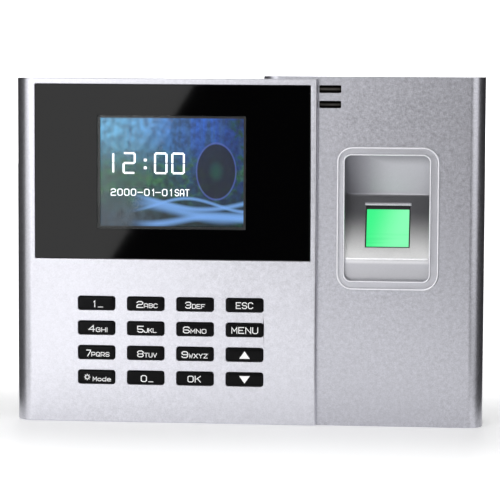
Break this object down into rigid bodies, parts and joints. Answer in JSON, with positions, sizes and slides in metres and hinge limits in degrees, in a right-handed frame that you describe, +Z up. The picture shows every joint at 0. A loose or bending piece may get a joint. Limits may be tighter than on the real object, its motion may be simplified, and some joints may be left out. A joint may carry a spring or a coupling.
{
  "type": "fingerprint scanner terminal",
  "caption": "Wall-mounted time terminal with a colour display, a keypad, a lit fingerprint sensor in a sloped finger recess, and a steel wall plate.",
  "frame": {"origin": "middle of the bottom edge, halfway through the depth", "axes": "+X to the right as a user faces it, -Y out of the front face, +Z up"},
  "size_m": [0.187, 0.034, 0.139],
  "materials": {
    "silver_paint_light": "silver metallic paint on moulded plastic, fine sparkle",
    "silver_paint": "silver metallic paint on moulded plastic, fine sparkle",
    "guide_paint": "satin silver paint on moulded plastic",
    "rear_plastic": "fine spark-eroded texture",
    "lens_acrylic": "clear acrylic printed black behind",
    "foam_tape": "matt foam tape",
    "bright_steel": "bright plated sheet",
    "lcd_glass": "lit colour display",
    "flex_film": "polyimide film",
    "key_plastic": "black gloss with white legends",
    "silicone": "translucent silicone",
    "circuit_board": "green solder mask",
    "chip_plastic": "moulded epoxy",
    "capacitor_can": "drawn can",
    "socket_plastic": "off-white nylon",
    "black_plastic": "moulded black",
    "prism_glass": "green-lit optical glass",
    "lens_barrel": "moulded lens",
    "wire_sleeve": "wire insulation",
    "smoked_window": "smoked light window",
    "cone_paper": "pressed paper cone",
    "port_shell": "plated shell",
    "terminal_plastic": "green polyamide",
    "plate_steel": "zinc-plated sheet steel",
    "screw_steel": "zinc-plated"
  },
  "bodies": {
    "terminal": {"left_cover": "silver_paint_light", "right_cover": "silver_paint", "rear_housing": "rear_plastic", "display_lens": "lens_acrylic", "lens_adhesive": "foam_tape", "lcd_frame": "bright_steel", "lcd_panel": "lcd_glass", "lcd_flex": "flex_film", "keypad_mat": "silicone", "keypad_pcb": "circuit_board", "keypad_flex": "flex_film", "main_pcb": "circuit_board", "processor": "chip_plastic", "memory_chips": "chip_plastic", "capacitors": "capacitor_can", "board_sockets": "socket_plastic", "coin_cell_holder": "black_plastic", "coin_cell": "bright_steel", "finger_guide": "guide_paint", "sensor_housing": "black_plastic", "sensor_prism": "prism_glass", "sensor_lens": "lens_barrel", "sensor_pcb": "circuit_board", "sensor_cable": "wire_sleeve", "led_window_upper": "smoked_window", "led_window_lower": "smoked_window", "led_board": "circuit_board", "led_cable": "wire_sleeve", "speaker_basket": "bright_steel", "speaker_cone": "cone_paper", "speaker_wires": "wire_sleeve", "usb_port": "port_shell", "ethernet_jack": "black_plastic", "terminal_block": "terminal_plastic", "terminal_screws": "bright_steel", "tamper_switch": "black_plastic", "reset_switch": "port_shell", "lock_screw": "screw_steel", "case_screws": "screw_steel", "board_screws": "screw_steel"},
    "key_1_body": {"key_1": "key_plastic"},
    "key_2_body": {"key_2": "key_plastic"},
    "key_3_body": {"key_3": "key_plastic"},
    "key_esc_body": {"key_esc": "key_plastic"},
    "key_4_body": {"key_4": "key_plastic"},
    "key_5_body": {"key_5": "key_plastic"},
    "key_6_body": {"key_6": "key_plastic"},
    "key_menu_body": {"key_menu": "key_plastic"},
    "key_7_body": {"key_7": "key_plastic"},
    "key_8_body": {"key_8": "key_plastic"},
    "key_9_body": {"key_9": "key_plastic"},
    "key_up_body": {"key_up": "key_plastic"},
    "key_mode_body": {"key_mode": "key_plastic"},
    "key_0_body": {"key_0": "key_plastic"},
    "key_ok_body": {"key_ok": "key_plastic"},
    "key_down_body": {"key_down": "key_plastic"},
    "tamper_plunger_body": {"tamper_plunger": "socket_plastic"},
    "reset_button_body": {"reset_button": "black_plastic"},
    "wall_plate_body": {"wall_plate": "plate_steel"}
  },
  "joints": [
    {"name": "key_1_press", "type": "slide", "parent": "terminal", "child": "key_1_body", "axis": [0, 1, 0], "range_m": [0, 0.0008], "stiffness_N_per_m": 1000, "springref_m": -0.0005},
    {"name": "key_2_press", "type": "slide", "parent": "terminal", "child": "key_2_body", "axis": [0, 1, 0], "range_m": [0, 0.0008], "stiffness_N_per_m": 1000, "springref_m": -0.0005},
    {"name": "key_3_press", "type": "slide", "parent": "terminal", "child": "key_3_body", "axis": [0, 1, 0], "range_m": [0, 0.0008], "stiffness_N_per_m": 1000, "springref_m": -0.0005},
    {"name": "key_esc_press", "type": "slide", "parent": "terminal", "child": "key_esc_body", "axis": [0, 1, 0], "range_m": [0, 0.0008], "stiffness_N_per_m": 1000, "springref_m": -0.0005},
    {"name": "key_4_press", "type": "slide", "parent": "terminal", "child": "key_4_body", "axis": [0, 1, 0], "range_m": [0, 0.0008], "stiffness_N_per_m": 1000, "springref_m": -0.0005},
    {"name": "key_5_press", "type": "slide", "parent": "terminal", "child": "key_5_body", "axis": [0, 1, 0], "range_m": [0, 0.0008], "stiffness_N_per_m": 1000, "springref_m": -0.0005},
    {"name": "key_6_press", "type": "slide", "parent": "terminal", "child": "key_6_body", "axis": [0, 1, 0], "range_m": [0, 0.0008], "stiffness_N_per_m": 1000, "springref_m": -0.0005},
    {"name": "key_menu_press", "type": "slide", "parent": "terminal", "child": "key_menu_body", "axis": [0, 1, 0], "range_m": [0, 0.0008], "stiffness_N_per_m": 1000, "springref_m": -0.0005},
    {"name": "key_7_press", "type": "slide", "parent": "terminal", "child": "key_7_body", "axis": [0, 1, 0], "range_m": [0, 0.0008], "stiffness_N_per_m": 1000, "springref_m": -0.0005},
    {"name": "key_8_press", "type": "slide", "parent": "terminal", "child": "key_8_body", "axis": [0, 1, 0], "range_m": [0, 0.0008], "stiffness_N_per_m": 1000, "springref_m": -0.0005},
    {"name": "key_9_press", "type": "slide", "parent": "terminal", "child": "key_9_body", "axis": [0, 1, 0], "range_m": [0, 0.0008], "stiffness_N_per_m": 1000, "springref_m": -0.0005},
    {"name": "key_up_press", "type": "slide", "parent": "terminal", "child": "key_up_body", "axis": [0, 1, 0], "range_m": [0, 0.0008], "stiffness_N_per_m": 1000, "springref_m": -0.0005},
    {"name": "key_mode_press", "type": "slide", "parent": "terminal", "child": "key_mode_body", "axis": [0, 1, 0], "range_m": [0, 0.0008], "stiffness_N_per_m": 1000, "springref_m": -0.0005},
    {"name": "key_0_press", "type": "slide", "parent": "terminal", "child": "key_0_body", "axis": [0, 1, 0], "range_m": [0, 0.0008], "stiffness_N_per_m": 1000, "springref_m": -0.0005},
    {"name": "key_ok_press", "type": "slide", "parent": "terminal", "child": "key_ok_body", "axis": [0, 1, 0], "range_m": [0, 0.0008], "stiffness_N_per_m": 1000, "springref_m": -0.0005},
    {"name": "key_down_press", "type": "slide", "parent": "terminal", "child": "key_down_body", "axis": [0, 1, 0], "range_m": [0, 0.0008], "stiffness_N_per_m": 1000, "springref_m": -0.0005},
    {"name": "tamper_plunger_press", "type": "slide", "parent": "terminal", "child": "tamper_plunger_body", "axis": [0, -1, 0], "range_m": [0, 0.0012], "stiffness_N_per_m": 400, "springref_m": -0.0008},
    {"name": "reset_button_press", "type": "slide", "parent": "terminal", "child": "reset_button_body", "axis": [0, 0, 1], "range_m": [0, 0.0003], "stiffness_N_per_m": 2500, "springref_m": -0.0004},
    {"name": "terminal_lift", "type": "slide", "parent": "terminal", "child": "wall_plate_body", "axis": [0, 0, -1], "range_m": [0, 0.0045]}
  ]
}
